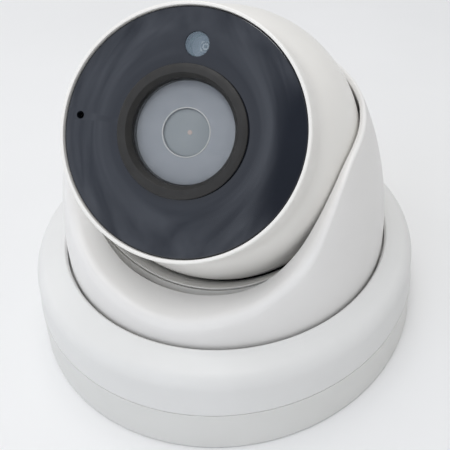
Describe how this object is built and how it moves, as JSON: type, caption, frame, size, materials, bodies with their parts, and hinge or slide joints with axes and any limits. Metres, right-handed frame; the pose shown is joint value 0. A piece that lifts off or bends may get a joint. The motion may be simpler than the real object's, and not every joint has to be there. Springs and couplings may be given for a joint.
{
  "type": "dome cctv camera",
  "caption": "Turret dome security camera: a round mounting base and trim ring, a panning housing, and an eyeball with black glass face and lens that tilts and rolls.",
  "frame": {"origin": "centre of the mounting base's underside, on the pan axis", "axes": "+Z along the pan axis away from the mounting surface; -Y is the side the lens looks towards at rest; +X completes a right-handed frame"},
  "size_m": [0.1104, 0.1104, 0.0921],
  "materials": {
    "white_plastic": "fine satin moulding",
    "black_glass": "deep gloss, nearly opaque",
    "black_plastic": "satin moulding",
    "clear_glass": "coated optical glass",
    "rubber": "matt",
    "circuit_board": "solder mask",
    "chip": "moulded epoxy",
    "led_package": "moulded white",
    "steel": "plated screw",
    "brass": "turned",
    "aluminium": "cast and milled"
  },
  "bodies": {
    "base": {"mounting_base": "white_plastic", "base_cover": "white_plastic", "cover_screw_1": "steel", "cover_screw_2": "steel", "cover_screw_3": "steel", "cable_grommet": "rubber", "seam_gasket": "rubber", "bearing_ring": "black_plastic", "pan_friction_ring": "rubber"},
    "turret": {"turret_housing": "white_plastic", "socket_liner": "white_plastic", "ball_support_ring": "black_plastic", "ball_friction_ring": "rubber", "support_screw_1": "steel", "support_screw_2": "steel", "support_screw_3": "steel"},
    "tilt_shell": {"rear_shell": "white_plastic", "shell_seal": "rubber", "cable_gland": "rubber"},
    "eyeball": {"front_shell": "white_plastic", "roll_retainer": "black_plastic", "retainer_screw_1": "steel", "retainer_screw_2": "steel", "retainer_screw_3": "steel", "face_glass": "black_glass", "glass_gasket": "rubber", "ir_window": "clear_glass", "lens_hood": "black_plastic", "lens_window": "clear_glass", "lens_barrel": "black_plastic", "lens_front_element": "clear_glass", "lens_rear_element": "clear_glass", "lens_holder": "black_plastic", "ir_filter": "clear_glass", "chassis_plate": "aluminium", "sensor_board": "circuit_board", "image_sensor": "chip", "board_standoff_1": "brass", "board_standoff_2": "brass", "board_standoff_3": "brass", "board_standoff_4": "brass", "main_board": "circuit_board", "main_chip": "chip", "cable_connector": "led_package", "heat_sink": "aluminium", "ir_board": "circuit_board", "ir_led": "led_package", "microphone": "black_plastic"}
  },
  "joints": [
    {"name": "pan", "type": "hinge", "parent": "base", "child": "turret", "pos_m": [0, 0, 0], "axis": [0, 0, 1], "range_deg": [-180, 180]},
    {"name": "tilt", "type": "hinge", "parent": "turret", "child": "tilt_shell", "pos_m": [0, 0, 0.0508], "axis": [1, 0, 0], "range_deg": [-52.5, 22.5]},
    {"name": "roll", "type": "hinge", "parent": "tilt_shell", "child": "eyeball", "pos_m": [0, 0, 0.0508], "axis": [0, -0.7939, 0.6081], "range_deg": [-180, 180]}
  ]
}
